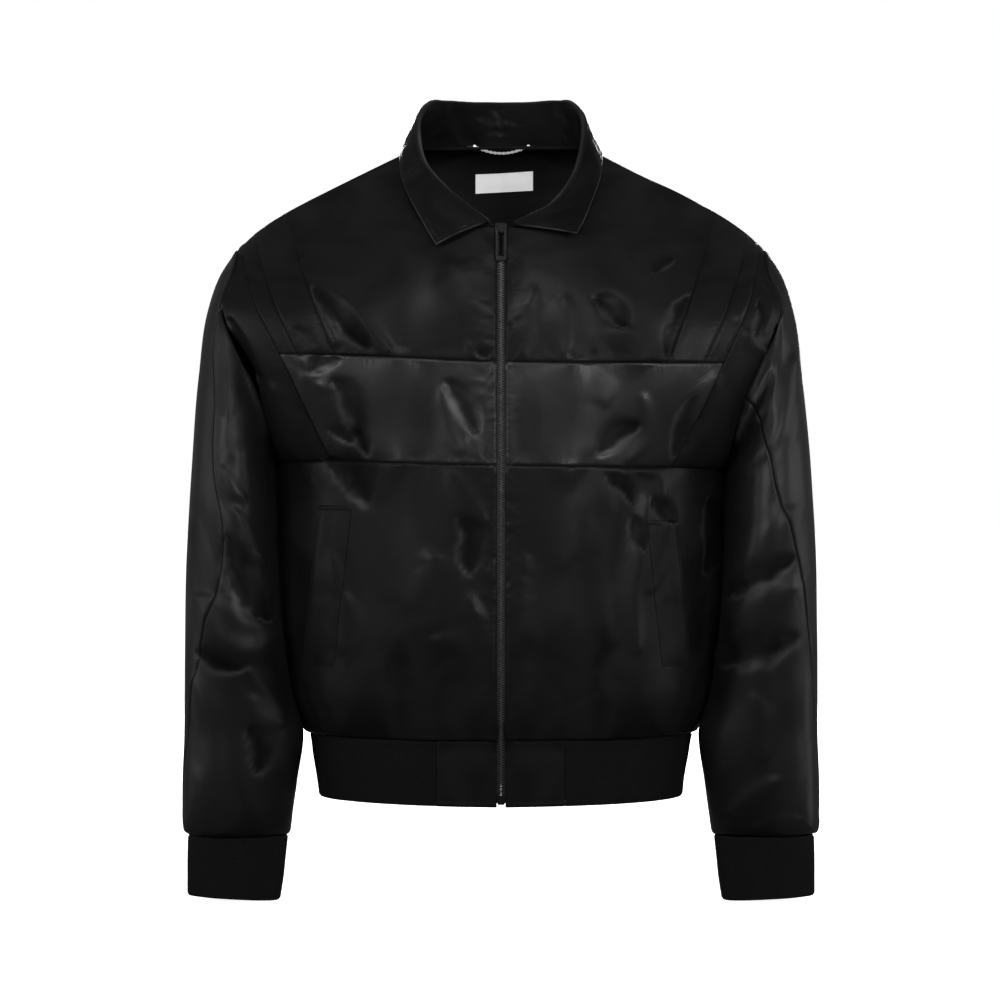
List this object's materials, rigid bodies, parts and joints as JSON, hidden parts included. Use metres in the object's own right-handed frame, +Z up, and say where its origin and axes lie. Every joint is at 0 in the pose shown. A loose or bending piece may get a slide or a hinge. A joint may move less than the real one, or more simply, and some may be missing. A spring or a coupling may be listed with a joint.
{
  "type": "varsity jacket",
  "caption": "Zip-front satin varsity jacket on a hollow, filled-out form, with fold-down collar, rib hem and cuffs, welt pockets and a swinging zip pull.",
  "frame": {"origin": "in the middle of the body between the shoulders, at the height where the collar meets the shoulders, where the wearer holds the jacket up", "axes": "+X to the wearer's left, -Y out of the front, +Z up along the wearer's back"},
  "size_m": [0.6289, 0.2587, 0.8048],
  "materials": {
    "satin": "black satin with a soft sheen",
    "rib_knit": "matt black rib knit",
    "zip_tape": "matt black woven tape",
    "zip_metal": "gunmetal",
    "chain_metal": "polished",
    "label_cloth": "white woven label"
  },
  "bodies": {
    "jacket": {"front_yoke_R": "satin", "front_yoke_L": "satin", "strip_inner_R": "satin", "strip_inner_L": "satin", "strip_outer_R": "satin", "strip_outer_L": "satin", "front_side_R": "satin", "front_side_L": "satin", "chest_band_R": "satin", "chest_band_L": "satin", "front_lower_R": "satin", "front_lower_L": "satin", "pocket_welt_R": "satin", "pocket_welt_L": "satin", "back_panel": "satin", "sleeve_front_R": "satin", "sleeve_front_L": "satin", "sleeve_back_R": "satin", "sleeve_back_L": "satin", "cuff_R": "rib_knit", "cuff_L": "rib_knit", "hem_rib": "rib_knit", "hem_tab_R": "satin", "hem_tab_L": "satin", "collar": "satin", "label": "label_cloth", "hanger_tab_R": "satin", "hanger_tab_L": "satin", "hanger_chain": "chain_metal", "zip_tape_R": "zip_tape", "zip_tape_L": "zip_tape", "zip_chain": "zip_metal", "zip_stop": "zip_metal", "zip_slider": "zip_metal"},
    "pull_tab": {"zip_pull": "zip_metal"}
  },
  "joints": [
    {"name": "pull_hinge", "type": "hinge", "parent": "jacket", "child": "pull_tab", "pos_m": [0, -0.1221, -0.086], "axis": [-1, 0, 0], "range_deg": [0, 140]}
  ]
}
